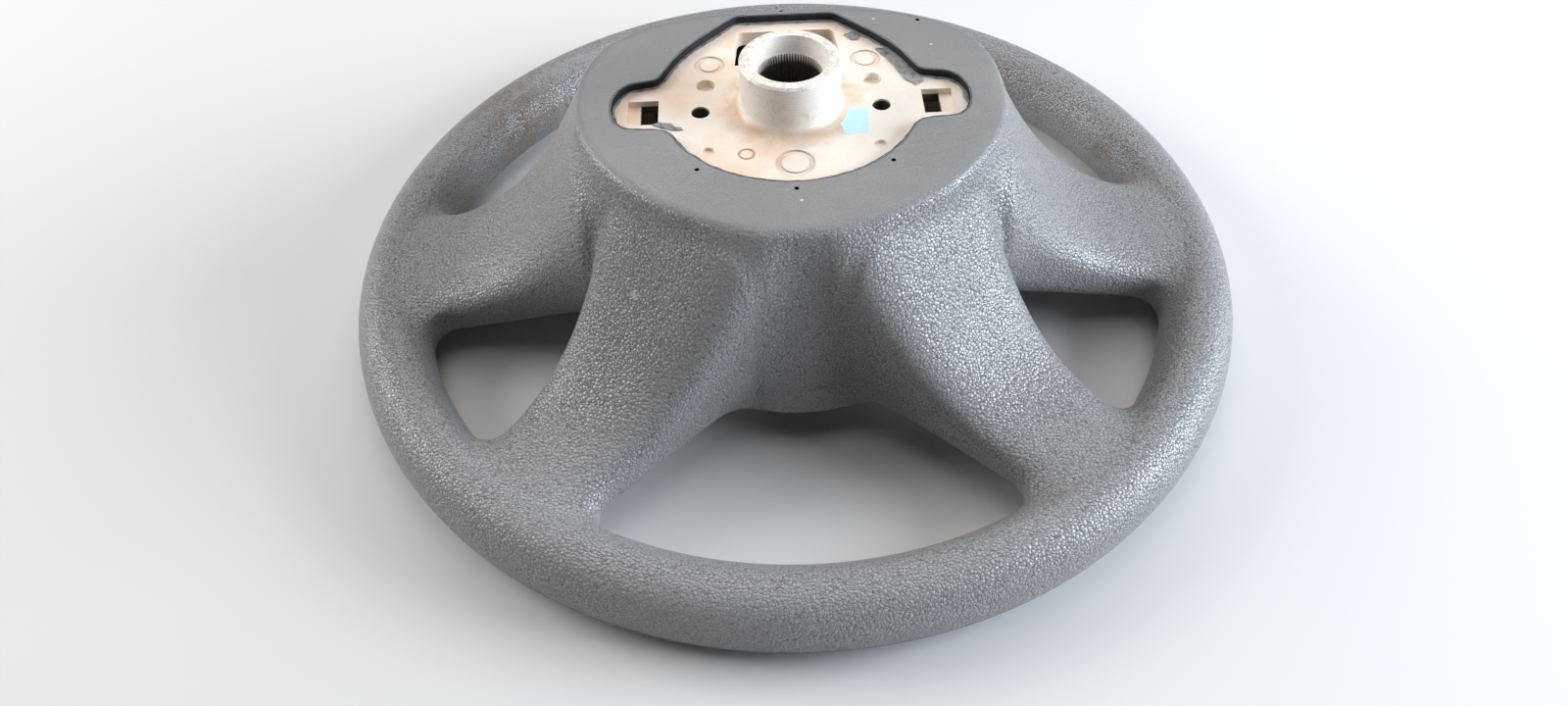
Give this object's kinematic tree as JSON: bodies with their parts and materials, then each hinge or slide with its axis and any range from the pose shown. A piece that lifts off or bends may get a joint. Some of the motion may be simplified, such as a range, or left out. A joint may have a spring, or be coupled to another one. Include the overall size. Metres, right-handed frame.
{
  "type": "car steering wheel",
  "caption": "Foam-covered steering wheel with wide spokes, a cast hub with a splined collar, and a sprung horn pad.",
  "frame": {"origin": "on the steering axis, level with the surface that the rim's driver side lies on", "axes": "+Z along the steering axis from the driver's side to the column side, +Y to twelve o'clock, +X right as seen from the column"},
  "size_m": [0.37, 0.37, 0.121],
  "materials": {
    "foam": "grained matt skin",
    "pad": "fine grained",
    "cast_alloy": "as cast, dull",
    "turned_alloy": "turned, handled and worn",
    "pressed_steel": "yellow passivated zinc",
    "bright_steel": "zinc plated",
    "spring_steel": "oiled spring wire",
    "cushion_cloth": "uncoated woven cloth",
    "guide_plastic": "natural acetal",
    "contact_brass": "plain"
  },
  "bodies": {
    "wheel": {"armature": "cast_alloy", "hub_boss": "turned_alloy", "foam_cover": "foam", "guide_bush_top_left": "guide_plastic", "horn_spring_top_left": "spring_steel", "guide_bush_top_right": "guide_plastic", "horn_spring_top_right": "spring_steel", "guide_bush_bottom": "guide_plastic", "horn_spring_bottom": "spring_steel", "lock_wire_left": "spring_steel", "contact_block_left": "guide_plastic", "contact_strip_left": "contact_brass", "lock_wire_right": "spring_steel", "contact_block_right": "guide_plastic", "contact_strip_right": "contact_brass"},
    "horn_pad": {"pad_cover": "pad", "module_tray": "pressed_steel", "cover_rivets": "bright_steel", "folded_cushion": "cushion_cloth", "cushion_retainer": "pressed_steel", "retainer_nuts": "bright_steel", "gas_generator": "bright_steel", "guide_pin_top_left": "bright_steel", "guide_pin_top_right": "bright_steel", "guide_pin_bottom": "bright_steel", "lock_hook_left": "pressed_steel", "contact_pin_left": "contact_brass", "lock_hook_right": "pressed_steel", "contact_pin_right": "contact_brass"}
  },
  "joints": [
    {"name": "horn_press", "type": "slide", "parent": "wheel", "child": "horn_pad", "axis": [0, 0, 1], "range_m": [0, 0.0025], "stiffness_N_per_m": 6000, "springref_m": -0.006, "deforming": ["horn_spring_top_left", "horn_spring_top_right", "horn_spring_bottom"]}
  ]
}
